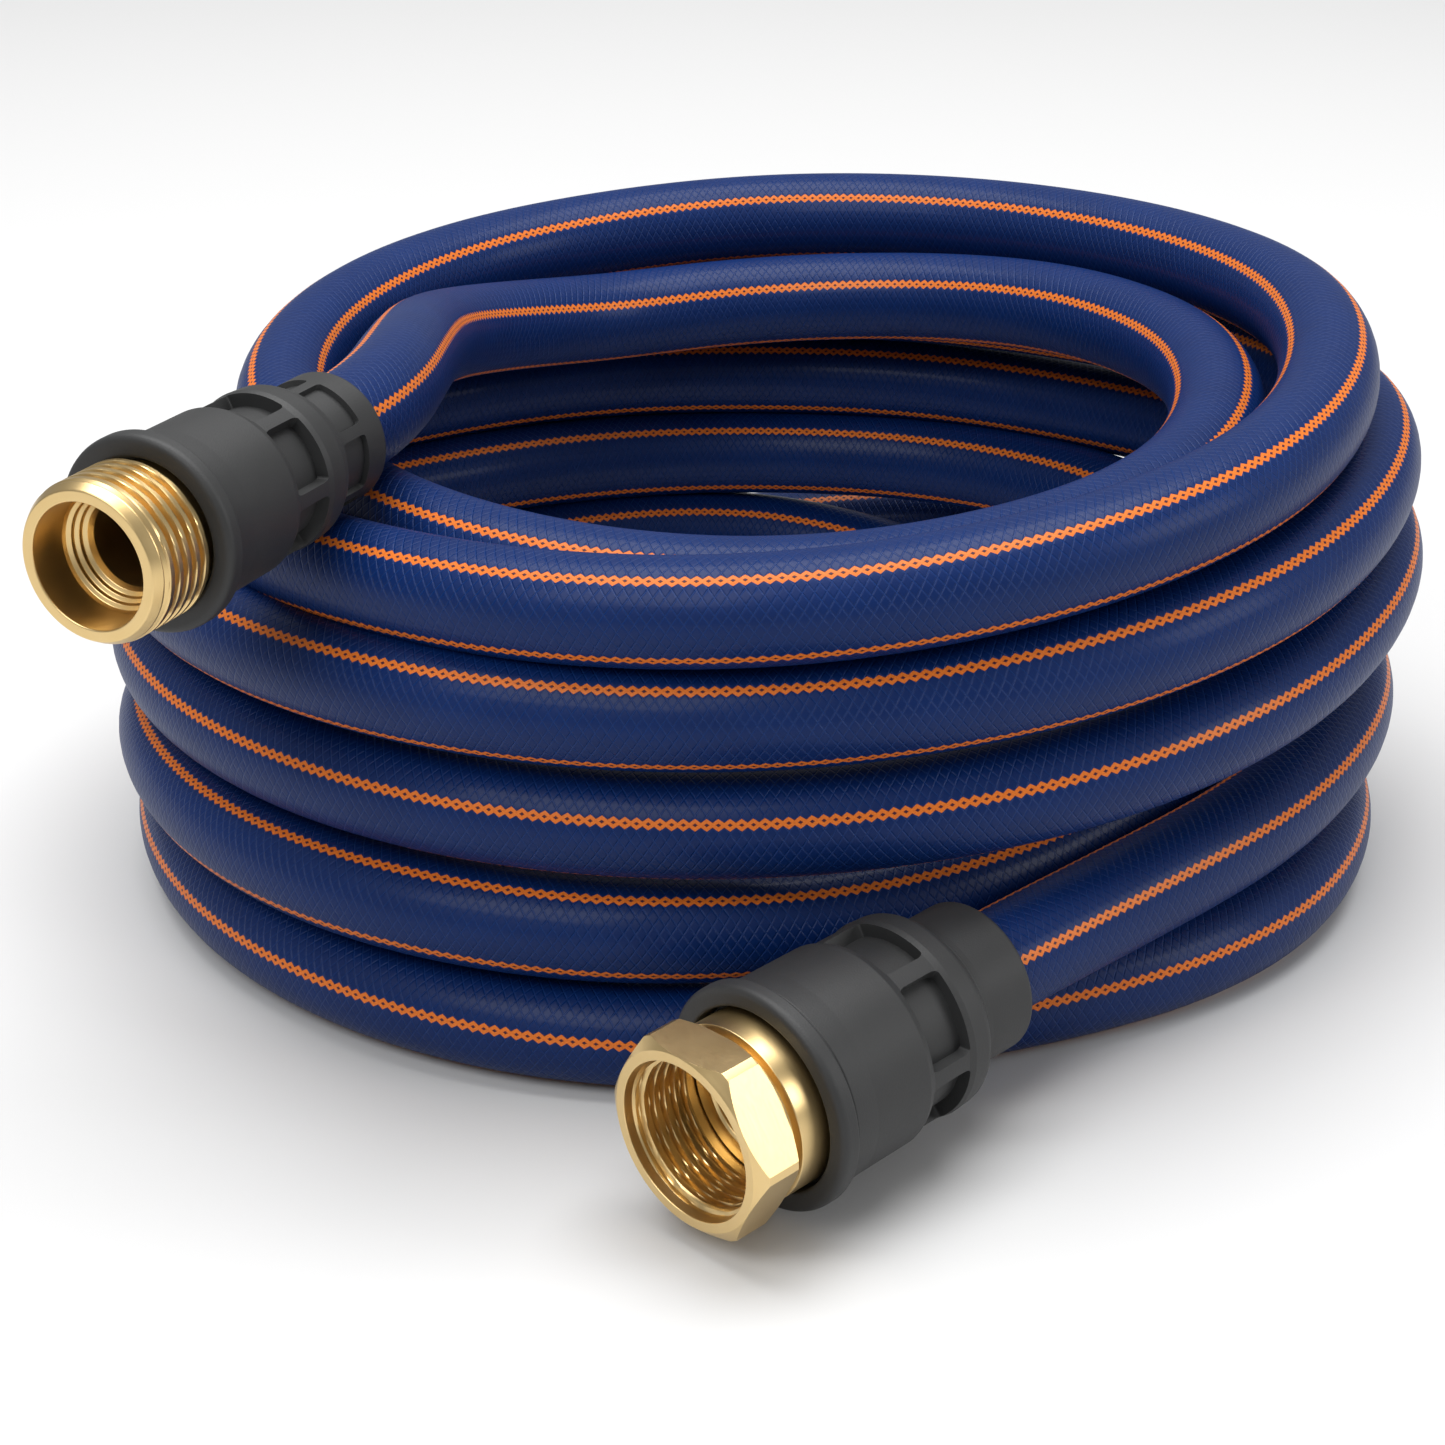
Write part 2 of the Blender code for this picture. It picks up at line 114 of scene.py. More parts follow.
# %% [markdown]
# ## The hose's route
# A hose that was wound by hand never makes a perfect helix. Each turn is given at a few azimuths, as
# its distance from the middle and the height of its centre, and a loop fills in the turns between.
# The route starts inside the female collar, goes once round as the free lead, winds up through the
# stacked turns, drops inside them at the top, and climbs into the male collar.
# %% Turns of the coil
TURNS = [
    # azimuth in degrees, distance from the middle and height of the centre in millimetres
    (-50, 110.8, 28.0), (-30, 113, 30.5), (0, 117.8, 33), (30, 116, 30.5), (60, 114.3, 25),
    (75, 114.2, 19.8), (90, 114.2, 15.2), (120, 114, 10.1), (150, 113.5, 9.35), (180, 114, 9.25),
    (225, 114.5, 9.25), (252, 112.5, 9.25), (270, 109, 9.25), (288, 104, 9.25), (306, 107.5, 9.25),
    (324, 114, 9.25), (360, 114, 9.25), (392, 107, 9.4), (420, 98, 12.5), (436, 96, 19.2),
    (450, 97.5, 22.8), (480, 99.3, 23.5), (500, 101.5, 24.7), (513, 105, 26.3), (525, 110, 27.5),
    (540, 117, 28), (585, 116.5, 28.6), (600, 114, 28.6), (615, 110.5, 28.4), (630, 105.5, 28.2),
    (642, 101, 28), (655, 96.5, 28.4), (670, 92.5, 30), (695, 94.2, 34), (720, 98, 41),
    (755, 101, 43.3), (780, 100.8, 41.7), (810, 100.5, 40.3), (832, 101.5, 40.7), (855, 104.5, 41.5),
    (900, 117.5, 47), (945, 114.5, 48.3), (990, 109.5, 49.8), (1035, 115.5, 56.5),
    (1080, 120.5, 64.5), (1125, 108.5, 58.3), (1170, 104, 58), (1215, 110, 58.8), (1260, 118, 65.5),
    (1305, 115, 68.3), (1350, 112, 70.5), (1395, 115.5, 77.5), (1440, 117.8, 84.1), (1485, 108, 78),
    (1530, 103.5, 75.8), (1575, 102, 74.5), (1605, 101, 72.3), (1625, 103, 73.7), (1645, 105.5, 78),
    (1665, 107, 83.4), (1710, 115, 89.9), (1755, 112.5, 97), (1800, 106.5, 102), (1845, 104.3, 98),
    (1890, 105.4, 93.9), (1912, 103, 91.5), (1935, 98.5, 90.8), (1980, 91, 87.3), (2025, 88.5, 84.6),
    (2070, 95.5, 85), (2115, 92.5, 88), (2160, 87, 91), (2205, 86.5, 87.3), (2226, 86, 83.8),
    (2250, 85.4, 80.6), (2265, 84, 79.6),
]
LAST_STRETCH = [
    (-30.3, 76.3, 79.8), (-44.4, 65, 82), (-55.2, 50.1, 85.4), (-62.2, 33.2, 89.4), (-64.8, 16, 93.4),
    (-65, -4, 97.8), (-65, -27, 101.8), (-66, -50, 104),
]
STEP_DEGREES = 3.0
SOFTNESS_DEGREES = 8.0
POINTS_A_TURN = 30
RING_STEP = 3.4
BEND_SOFTNESS = 9.0


def smoothed(values, width):
    """Gaussian blur of a row of values, with its ends carried on as straight lines."""
    reach = int(3 * width) + 1
    weights = np.exp(-0.5 * (np.arange(-reach, reach + 1) / width) ** 2)
    weights /= weights.sum()
    ahead = np.arange(1, reach + 1)
    before = values[0] - (values[1] - values[0]) * ahead[::-1]
    after = values[-1] + (values[-1] - values[-2]) * ahead
    return np.convolve(np.concatenate([before, values, after]), weights, "valid")


def coil_points():
    """Points every 12 degrees round the coil, from the listed turns."""
    azimuth, distance, height = np.array(TURNS, float).T
    fine = np.arange(azimuth[0], azimuth[-1] + 0.1, STEP_DEGREES)
    width = SOFTNESS_DEGREES / STEP_DEGREES
    radius = smoothed(np.interp(fine, azimuth, distance), width)
    rise = smoothed(np.interp(fine, azimuth, height), width)
    stride = round(360 / POINTS_A_TURN / STEP_DEGREES)
    angle = np.radians(fine)
    points = np.stack([radius * np.cos(angle), radius * np.sin(angle), rise], 1)
    return points[2:-1:stride]


def along_curve(points, per_span):
    """Points on a Catmull-Rom curve through the given ones."""
    points = np.array([2 * points[0] - points[1], *points, 2 * points[-1] - points[-2]])
    a, b, c, d = points[:-3], points[1:-2], points[2:-1], points[3:]
    rows = []
    for t in np.arange(per_span) / per_span:
        rows.append(0.5 * (2 * b + (c - a) * t + (2 * a - 5 * b + 4 * c - d) * t ** 2
                           + (3 * b - a - 3 * c + d) * t ** 3))
    return np.concatenate([np.stack(rows, 1).reshape(-1, 3), points[-2:-1]])


def evenly(points, step):
    """The same line with points an even step apart."""
    lengths = np.concatenate([[0], np.cumsum(np.linalg.norm(np.diff(points, axis=0), axis=1))])
    places = np.linspace(0, lengths[-1], round(lengths[-1] / step) + 1)
    return np.stack([np.interp(places, lengths, points[:, i]) for i in range(3)], 1)


def hose_line():
    """The hose's centreline in millimetres, in the frame."""
    start = [female_mouth + female_back * depth for depth in (STEM_END + 1, FEMALE_LENGTH + 2)]
    end = [male_mouth + male_back * depth for depth in (MALE_LENGTH + 2, STEM_END + 1)]
    points = np.array([*start, *coil_points(), *LAST_STRETCH, *end], float)
    line = evenly(along_curve(points, 12), RING_STEP)
    soft = np.stack([smoothed(line[:, i], BEND_SOFTNESS / RING_STEP) for i in range(3)], 1)
    return evenly(soft, RING_STEP) + np.array(winding_axis)


line = hose_line()
lengths = np.concatenate([[0], np.cumsum(np.linalg.norm(np.diff(line, axis=0), axis=1))])

# %% [markdown]
# ## The hose's skin
# The jacket is a tube with two coordinates painted on it: how far along the hose a point lies, and
# how far round it, as a share of a turn. Stripes and knit both follow the hose through every bend,
# so they are worked out from those two numbers and not from the room. The hose twists slowly as it
# lies, and a short list says by how much at a few azimuths of the winding.
# %% Skin of the hose
SIDES = 40
BORE_R = 6.35
BORE_DEPTH = 30.0
STRIPE_TURN = [
    # azimuth of the winding, and how high round the hose one stripe lies, in degrees
    (-60, 30), (90, 28), (270, 14), (450, 40), (600, 62), (660, 50), (810, 40), (990, 24),
    (1170, 40), (1350, 49), (1530, 50), (1710, 54), (1890, 50), (2070, 54), (2300, 60),
]


def hose_frames(line):
    """Directions outward and upward round the hose at each point of its line."""
    ahead = np.gradient(line, axis=0)
    ahead /= np.linalg.norm(ahead, axis=1)[:, None]
    outward = np.cross(ahead, [0.0, 0.0, 1.0])
    outward /= np.linalg.norm(outward, axis=1)[:, None]
    return outward, np.cross(outward, ahead)


def winding_azimuth(line):
    """How far each point has gone round the winding, in degrees, counted on from the first turn."""
    x, y = (line - np.array(winding_axis))[:, 0], (line - np.array(winding_axis))[:, 1]
    return np.degrees(np.unwrap(np.arctan2(y, x)))


def tube(name, line, lengths, radius, bore):
    """Tube mesh round a line, with a bore at both ends and the coordinates along and around it."""
    outward, upward = hose_frames(line)
    azimuth = winding_azimuth(line)
    stripe = np.interp(azimuth, *np.array(STRIPE_TURN, float).T) / 360
    mesh = bpy.data.meshes.new(name)
    angles = 2 * pi * np.arange(SIDES) / SIDES
    bore_rings = round(BORE_DEPTH / RING_STEP)
    rows = [(i, bore) for i in range(bore_rings, -1, -1)]
    rows += [(i, radius) for i in range(len(line))]
    rows += [(i, bore) for i in range(len(line) - 1, len(line) - 2 - bore_rings, -1)]
    verts = np.concatenate([
        line[i] + size * (np.cos(angles)[:, None] * outward[i] + np.sin(angles)[:, None] * upward[i])
        for i, size in rows])
    faces = []
    for row in range(len(rows) - 1):
        for k in range(SIDES):
            here, there = row * SIDES, (row + 1) * SIDES
            beside = (k + 1) % SIDES
            faces.append((here + k, here + beside, there + beside, there + k))
    last = (len(rows) - 1) * SIDES
    faces.append(tuple(range(SIDES))[::-1])
    faces.append(tuple(last + k for k in range(SIDES)))
    mesh.from_pydata((verts * MM).tolist(), [], faces)
    layer = mesh.uv_layers.new(name="along_and_around")
    places = []
    for row in range(len(rows) - 1):
        here, there = rows[row][0], rows[row + 1][0]
        for k in range(SIDES):
            for ring, side in ((here, k), (here, k + 1), (there, k + 1), (there, k)):
                places.append((lengths[ring] * MM, side / SIDES - stripe[ring]))
    places += [(0.0, 0.0)] * (2 * SIDES)
    layer.uv.foreach_set("vector", np.array(places, np.float32).ravel())
    mesh.shade_smooth()
    mesh.set_sharp_from_angle(angle=radians(60))
    return mesh


hose = bpy.data.objects.new("hose", tube("hose", line, lengths, HOSE_R, BORE_R))
scene.collection.objects.link(hose)
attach(hose, "hose")
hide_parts("hose_coil", "female_lead", "top_turns")
print("hose skin:", len(hose.data.polygons), "faces")

# %% [markdown]
# ## Shader maths in plain expressions
# A pattern is arithmetic on coordinates, and it reads best as arithmetic. This small class wraps a
# node's output, so that adding or comparing two of them adds the Math node that does it. Any other
# node comes from one method of the material's own helper.
# %% Shader helpers
NOISE = {"noise_dimensions": "3D"}


class Value:
    """A node output that can be used in Python expressions."""

    def __init__(self, paint, socket):
        self.paint, self.socket = paint, socket

    def maths(self, operation, *others):
        return self.paint.node("ShaderNodeMath", {"operation": operation}, self, *others)

    def __add__(self, other):
        return self.maths("ADD", other)

    def __radd__(self, other):
        return self.maths("ADD", other)

    def __sub__(self, other):
        return self.maths("SUBTRACT", other)

    def __rsub__(self, other):
        return self.paint.node("ShaderNodeMath", {"operation": "SUBTRACT"}, other, self)

    def __mul__(self, other):
        return self.maths("MULTIPLY", other)

    def __rmul__(self, other):
        return self.maths("MULTIPLY", other)

    def __truediv__(self, other):
        return self.maths("DIVIDE", other)

    def __pow__(self, other):
        return self.maths("POWER", other)

    def __abs__(self):
        return self.maths("ABSOLUTE")

    def fraction(self):
        return self.maths("FRACT")

    def wave(self):
        """1 at every whole number and 0 half-way between."""
        return (self * (2 * pi)).maths("COSINE") * 0.5 + 0.5

    def zigzag(self):
        """0 at every whole number and 1 half-way between, in straight lines."""
        return self.maths("PINGPONG", 0.5) * 2.0

    def under(self, edge, softness):
        """1 where this is below an edge, 0 above it, with a soft step."""
        soft = {"interpolation_type": "SMOOTHSTEP"}
        low, high = edge - softness, edge + softness
        return self.paint.node("ShaderNodeMapRange", soft, self, low, high, 1.0, 0.0)

    def larger(self, other):
        return self.maths("MAXIMUM", other)


class Paint:
    """A material under construction: its node tree, its shader and one method for any node."""

    def __init__(self, name, **constants):
        self.material = bpy.data.materials.new(name)
        self.material["slot"] = name
        self.material.use_nodes = True
        self.tree = self.material.node_tree
        self.shader = self.tree.nodes["Principled BSDF"]
        for socket, value in constants.items():
            self.shader.inputs[socket.replace("_", " ")].default_value = value

    def node(self, kind, settings, *values, output=0, **named):
        made = self.tree.nodes.new(kind)
        for key, value in settings.items():
            setattr(made, key, value)
        places = list(enumerate(values)) + list(named.items())
        for place, value in places:
            socket = made.inputs[place if isinstance(place, int) else place.replace("_", " ")]
            if isinstance(value, Value):
                self.tree.links.new(value.socket, socket)
            elif value is not None:
                socket.default_value = value
        return Value(self, made.outputs[output])

    def mix(self, share, first, second):
        """Colour between two colours or links."""
        made = self.tree.nodes.new("ShaderNodeMix")
        made.data_type = "RGBA"
        for place, value in ((0, share), (6, first), (7, second)):
            if isinstance(value, Value):
                self.tree.links.new(value.socket, made.inputs[place])
            else:
                made.inputs[place].default_value = value
        return Value(self, made.outputs[2])

    def put(self, **links):
        for socket, value in links.items():
            self.tree.links.new(value.socket, self.shader.inputs[socket.replace("_", " ")])

    def bump(self, height, distance, strength=1.0):
        return self.node("ShaderNodeBump", {}, Strength=strength, Distance=distance, Height=height)


print("shader helpers ready")

# %% [markdown]
# ## The hose's jacket
# The jacket is a satin blue plastic skin, pressed so thinly over its braid that the crossing yarns
# stand out as fine ridges. Four stripes run along it, each of two orange yarns that zigzag across
# each other into a chain of small diamonds. Both follow the same pitch, so one set of sums makes
# the ridges, the toothed edges of the stripes and the dark hearts of the diamonds.
# %% Jacket material
PITCH = 1.83
YARNS_ROUND = 20
STRIPES = 4
AROUND_MM = pi * HOSE_D
BLUE = (0.0006, 0.0175, 0.104, 1.0)
BLUE_DEEP = (0.0004, 0.0120, 0.076, 1.0)
# lighter blue for a painted glint along the knit ridges
BLUE_RIDGE_PAINTED_GLINT = (0.010, 0.066, 0.29, 1.0)
ORANGE = (0.80, 0.225, 0.030, 1.0)
ORANGE_DEEP = (0.50, 0.090, 0.012, 1.0)
HEART = (0.055, 0.014, 0.030, 1.0)
ZIGZAG_MM, YARN_HALF_MM, HEART_HALF_MM = 0.66, 0.38, 0.6
RELIEF = 0.00012
BORE_DARK, BORE_PALE = (0.006, 0.006, 0.007, 1.0), (0.014, 0.014, 0.016, 1.0)


def jacket_material():
    paint = Paint("hose_jacket", Coat_Weight=0.08, Coat_Roughness=0.20, Specular_IOR_Level=0.17)
    place = paint.node("ShaderNodeUVMap", {"uv_map": "along_and_around"})
    along = paint.node("ShaderNodeSeparateXYZ", {}, place) * (1 / MM)
    around = paint.node("ShaderNodeSeparateXYZ", {}, place, output=1)
    grain = paint.node("ShaderNodeTexNoise", NOISE, Scale=900.0, Detail=3.0)
    patches = paint.node("ShaderNodeTexNoise", NOISE, Scale=22.0, Detail=2.0)

    wobble = (patches - 0.5) * 0.10
    rising = along / PITCH + around * YARNS_ROUND + wobble
    falling = along / PITCH - around * YARNS_ROUND + wobble
    faint = paint.node("ShaderNodeTexNoise", NOISE, Scale=140.0, Detail=2.0)
    ridges = (rising.wave() ** 14).larger(falling.wave() ** 14) * (0.35 + faint * 1.3)

    across = abs((around * STRIPES + 0.5).fraction() - 0.5) * (AROUND_MM / STRIPES)
    zigzag = (along / PITCH).zigzag() * ZIGZAG_MM
    yarn = abs(across - zigzag).under(YARN_HALF_MM, 0.08)
    heart = across.under(HEART_HALF_MM, 0.06) * (1 - yarn)

    blue = paint.mix(patches, BLUE_DEEP, BLUE)
    # painted glint: the knit ridges are coloured a lighter blue on top of their real bump
    blue = paint.mix(ridges * 0.18, blue, BLUE_RIDGE_PAINTED_GLINT)
    orange = paint.mix(grain, ORANGE_DEEP, ORANGE)
    colour = paint.mix(heart, blue, HEART)
    colour = paint.mix(yarn, colour, orange)
    height = ridges * (1 - yarn) * (1 - heart) + yarn * 1.15 + grain * 0.16
    paint.put(Base_Color=colour, Roughness=0.40 + grain * 0.12 - ridges * 0.08,
              Normal=paint.bump(height, RELIEF))
    return paint.material


def bore_material():
    paint = Paint("hose_bore", Roughness=0.6, Specular_IOR_Level=0.3)
    grain = paint.node("ShaderNodeTexNoise", NOISE, Scale=400.0, Detail=2.0)
    paint.put(Base_Color=paint.mix(grain, BORE_DARK, BORE_PALE))
    return paint.material


hose.data.materials.append(jacket_material())
hose.data.materials.append(bore_material())
bore_faces = (round(BORE_DEPTH / RING_STEP) + 1) * SIDES
faces = len(hose.data.polygons)
for face in hose.data.polygons:
    inside = face.index < bore_faces or face.index >= faces - 2 - bore_faces
    face.material_index = 1 if inside else 0
print("jacket nodes:", len(hose.data.materials[0].node_tree.nodes))

# %% [markdown]
# ## Turned brass and moulded plastic
# The brass is cut on a lathe, so its faint tool marks run round each piece's own axis. The collars
# are moulded in a charcoal plastic, matt from a fine spark-eroded grain in the mould.
# %% Brass and plastic
BRASS_DEEP, BRASS_PALE = (0.70, 0.50, 0.22, 1.0), (0.78, 0.58, 0.29, 1.0)
CHARCOAL_DEEP, CHARCOAL_PALE = (0.019, 0.0195, 0.020, 1.0), (0.028, 0.0285, 0.029, 1.0)
TOOL_MARKS_A_METRE = 3000.0
MARK_HEIGHT, GRAIN_HEIGHT = 0.0000015, 0.00003


def brass_material():
    paint = Paint("brass", Metallic=1.0)
    place = paint.node("ShaderNodeTexCoord", {}, output=3)
    x = paint.node("ShaderNodeSeparateXYZ", {}, place)
    y = paint.node("ShaderNodeSeparateXYZ", {}, place, output=1)
    depth = paint.node("ShaderNodeSeparateXYZ", {}, place, output=2)
    radius = (x * x + y * y).maths("SQRT")
    turned = paint.node("ShaderNodeCombineXYZ", {}, radius * TOOL_MARKS_A_METRE,
                        depth * TOOL_MARKS_A_METRE, x * 25.0)
    marks = paint.node("ShaderNodeTexNoise", NOISE, Vector=turned, Scale=1.0, Detail=3.0)
    cloud = paint.node("ShaderNodeTexNoise", NOISE, Vector=place, Scale=160.0, Detail=3.0)
    colour = paint.mix(cloud, BRASS_DEEP, BRASS_PALE)
    paint.put(Base_Color=colour, Roughness=0.24 + marks * 0.10 + cloud * 0.05,
              Normal=paint.bump(marks, MARK_HEIGHT))
    return paint.material


def plastic_material():
    paint = Paint("charcoal_plastic", Specular_IOR_Level=0.42)
    place = paint.node("ShaderNodeTexCoord", {}, output=3)
    grain = paint.node("ShaderNodeTexNoise", NOISE, Vector=place, Scale=3500.0, Detail=2.0)
    cloud = paint.node("ShaderNodeTexNoise", NOISE, Vector=place, Scale=120.0, Detail=3.0)
    colour = paint.mix(cloud, CHARCOAL_DEEP, CHARCOAL_PALE)
    paint.put(Base_Color=colour, Roughness=0.44 + grain * 0.14 + cloud * 0.06,
              Normal=paint.bump(grain, GRAIN_HEIGHT))
    return paint.material


brass, plastic = brass_material(), plastic_material()
print("materials:", brass.name, plastic.name)

# %% [markdown]
# ## A lathe
# Every fitting here is turned, so one helper does for them all. A profile is a loop of corners, each
# a radius, a depth behind the mouth and the size of its rounding. The lathe spins it, and can move
# each point in or out as it goes round, which is how a thread's helix is cut.
# %% Lathe and threads
THREAD_PITCH = 2.209
THREAD_STEP = THREAD_PITCH / 14


def rounded(corners, steps=4):
    """Loop of (radius, depth) points with each corner's rounding put in as an arc."""
    loop = []
    count = len(corners)
    for i, (radius, depth, size) in enumerate(corners):
        here = Vector((radius, depth))
        before = Vector(corners[i - 1][:2]) - here
        after = Vector(corners[(i + 1) % count][:2]) - here
        if size <= 0 or before.length < 1e-6 or after.length < 1e-6:
            loop.append((radius, depth))
            continue
        half = before.angle(after) / 2
        reach = min(size / tan(half), 0.45 * before.length, 0.45 * after.length)
        start, end = here + before.normalized() * reach, here + after.normalized() * reach
        for k in range(steps + 1):
            t = k / steps
            point = start * (1 - t) ** 2 + here * 2 * t * (1 - t) + end * t ** 2
            loop.append((point.x, point.y))
    return loop


def threaded(start, end, radius):
    """Corners close together along a threaded stretch, from one depth to another."""
    count = round(abs(end - start) / THREAD_STEP)
    return [(radius, start + (end - start) * i / count, 0) for i in range(count + 1)]


def thread_form(root, crest, start, end, front):
    """How a lathe moves points in or out for a right-handed thread between two depths.

    Front says where the thread comes from at its near end: 0 is the root and 1 is the crest.
    """
    def move(radius, depth, angle):
        if abs(radius - root) > 0.001 or not start <= depth <= end:
            return radius
        phase = (depth - start) / THREAD_PITCH + angle / (2 * pi)
        ridge = min(max((0.5 - 0.5 * cos(2 * pi * phase) - 0.12) * 2, 0.0), 1.0)
        ridge = ridge * ridge * (3 - 2 * ridge)
        lead = min((depth - start) / (0.7 * THREAD_PITCH), 1.0)
        fade = min((end - depth) / (0.5 * THREAD_PITCH), 1.0)
        return root + (crest - root) * (front + (ridge - front) * lead) * fade
    return move


def lathe(name, loop, steps=128, move=None):
    """Closed mesh of a loop of (radius, depth) points turned about Z, in its own frame."""
    mesh = bpy.data.meshes.new(name)
    verts, faces = [], []
    count = len(loop)
    for i in range(steps):
        angle = 2 * pi * i / steps
        for radius, depth in loop:
            size = radius if move is None else move(radius, depth, angle)
            verts.append((size * cos(angle) * MM, size * sin(angle) * MM, -depth * MM))
    for i in range(steps):
        here, there = i * count, (i + 1) % steps * count
        for k in range(count):
            beside = (k + 1) % count
            faces.append((here + k, here + beside, there + beside, there + k))
    mesh.from_pydata(verts, [], faces)
    return mesh


def fitted(name, mesh, place, material, body, replaced, smooth_angle=32):
    """Put a turned mesh in its place, on its body, instead of its CAD node."""
    made = bpy.data.objects.new(name, mesh)
    made.matrix_world = place
    mesh.materials.clear()
    mesh.materials.append(material)
    mesh.polygons.foreach_set("material_index", [0] * len(mesh.polygons))
    mesh.shade_smooth()
    mesh.set_sharp_from_angle(angle=radians(smooth_angle))
    scene.collection.objects.link(made)
    made.modifiers.new("flat_faces_stay_flat", "WEIGHTED_NORMAL").keep_sharp = True
    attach(made, body)
    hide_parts(replaced)
    print(name, len(mesh.polygons), "faces")
    return made


def carved(mesh, cutters, edge_size, sharp, reach, beyond):
    """Mesh with cutters taken out, and its sharp edges softened between two depths, beyond a radius."""
    body = bpy.data.objects.new("carving", mesh)
    scene.collection.objects.link(body)
    tools = []
    for index, cutter in enumerate(cutters):
        tool = bpy.data.objects.new("cutter", cutter)
        scene.collection.objects.link(tool)
        boolean = body.modifiers.new("cut_" + str(index), "BOOLEAN")
        boolean.operation = "DIFFERENCE"
        boolean.solver = "MANIFOLD"
        boolean.object = tool
        tools.append(tool)
    graph = bpy.context.evaluated_depsgraph_get()
    result = bpy.data.meshes.new_from_object(body.evaluated_get(graph))
    for made in [body, *tools]:
        bpy.data.objects.remove(made, do_unlink=True)
    bm = bmesh.new()
    bm.from_mesh(result)
    low, high = -reach[1] * MM, -reach[0] * MM
    edges = [e for e in bm.edges if len(e.link_faces) == 2 and e.calc_face_angle(0) > radians(sharp)
             and all(low <= v.co.z <= high and v.co.xy.length > beyond * MM for v in e.verts)]
    bmesh.ops.bevel(bm, geom=edges, offset=edge_size * MM, segments=3, profile=0.5, affect="EDGES",
                    clamp_overlap=True)
    bm.to_mesh(result)
    bm.free()
    return result


print("lathe ready")

# %% [markdown]
# ## The swivel nut
# The nut is a hexagon for the fingers in front and a round band behind, with a groove between. Its
# flats are milled off a turned blank, so the blank is made on the lathe and a hexagonal ring is cut
# away from it. Inside run five turns of the real 3/4 inch hose thread.
# %% Swivel nut
NUT_FLATS, NUT_CORNER_R, NUT_BAND_R, NUT_FACE_R, NUT_MOUTH_R = 31.2, 17.6, 15.35, 15.5, 13.8
HEX_LENGTH, GROOVE_LENGTH, NUT_LENGTH = 8.8, 1.6, 19.2
NUT_HOLE_R, NUT_BACK_WALL = 8.9, 2.0
FEMALE_CREST_R, FEMALE_ROOT_R = 12.65, 13.6
NUT_THREAD_START, NUT_THREAD_TURNS = 1.6, 5.4


def swivel_nut():
    thread_end = NUT_THREAD_START + NUT_THREAD_TURNS * THREAD_PITCH
    groove_end = HEX_LENGTH + GROOVE_LENGTH
    corners = [
        (NUT_FACE_R, 0.0, 0.25), (NUT_CORNER_R, 1.5, 0.3), (NUT_CORNER_R, HEX_LENGTH - 1.0, 0.3),
        (NUT_FACE_R + 0.5, HEX_LENGTH, 0.2), (NUT_BAND_R - 1.3, HEX_LENGTH + 0.2, 0.2),
        (NUT_BAND_R - 1.3, groove_end, 0.3), (NUT_BAND_R, groove_end + 0.5, 0.2),
        (NUT_BAND_R, NUT_LENGTH, 0.5), (NUT_HOLE_R, NUT_LENGTH, 0.2),
        (NUT_HOLE_R, NUT_LENGTH - NUT_BACK_WALL, 0.1), (FEMALE_ROOT_R, NUT_LENGTH - NUT_BACK_WALL, 0.1),
        *threaded(thread_end + 0.4, NUT_THREAD_START, FEMALE_ROOT_R), (NUT_MOUTH_R, 0.0, 0.2),
    ]
    move = thread_form(FEMALE_ROOT_R, FEMALE_CREST_R, NUT_THREAD_START, thread_end, 0.0)
    blank = lathe("female_nut", rounded(corners), move=move)
    flats_r = NUT_FLATS / 2 / cos(pi / 6)
    outside = 2 * NUT_CORNER_R
    ring = [(outside, -1.0), (outside, HEX_LENGTH + 0.1), (flats_r, HEX_LENGTH + 0.1), (flats_r, -1.0)]
    flats = lathe("flats", ring, steps=6)
    return carved(blank, [flats], 0.22, 12, (-1.0, HEX_LENGTH + 0.05), NUT_MOUTH_R + 0.3)


female_nut = fitted("female_nut_turned", swivel_nut(), female_place, brass, "swivel_nut",
                    "female_nut", 24)

# %% [markdown]
# ## The tailpiece
# The tailpiece is the brass tube inside the nut. Its flange is the ring that the washer seats on,
# seen through the nut's mouth with the dark bore in its middle.
# %% Tailpiece
SEAT_FLANGE_LENGTH = 1.9
SEAT_DEPTH = NUT_LENGTH - NUT_BACK_WALL - 0.3 - SEAT_FLANGE_LENGTH
SEAT_FLANGE_R = FEMALE_ROOT_R - 0.3
STEM_R, STEM_BORE_R = 8.5, 7.2


def tailpiece():
    seat_back = SEAT_DEPTH + SEAT_FLANGE_LENGTH
    corners = [
        (SEAT_FLANGE_R, SEAT_DEPTH, 0.25), (SEAT_FLANGE_R, seat_back, 0.2), (STEM_R, seat_back, 0.3),
        (STEM_R, STEM_END - 0.3, 0.2), (STEM_BORE_R, STEM_END - 0.3, 0.2),
        (STEM_BORE_R, SEAT_DEPTH + 4.0, 0.5), (STEM_BORE_R + 2.0, SEAT_DEPTH + 2.2, 0.3),
        (STEM_BORE_R + 2.4, SEAT_DEPTH + 0.4, 0.3), (STEM_BORE_R + 2.9, SEAT_DEPTH, 0.2),
    ]
    return lathe("female_tailpiece", rounded(corners))


female_tailpiece = fitted("female_tailpiece_turned", tailpiece(), female_place, brass, "hose",
                          "female_tailpiece")

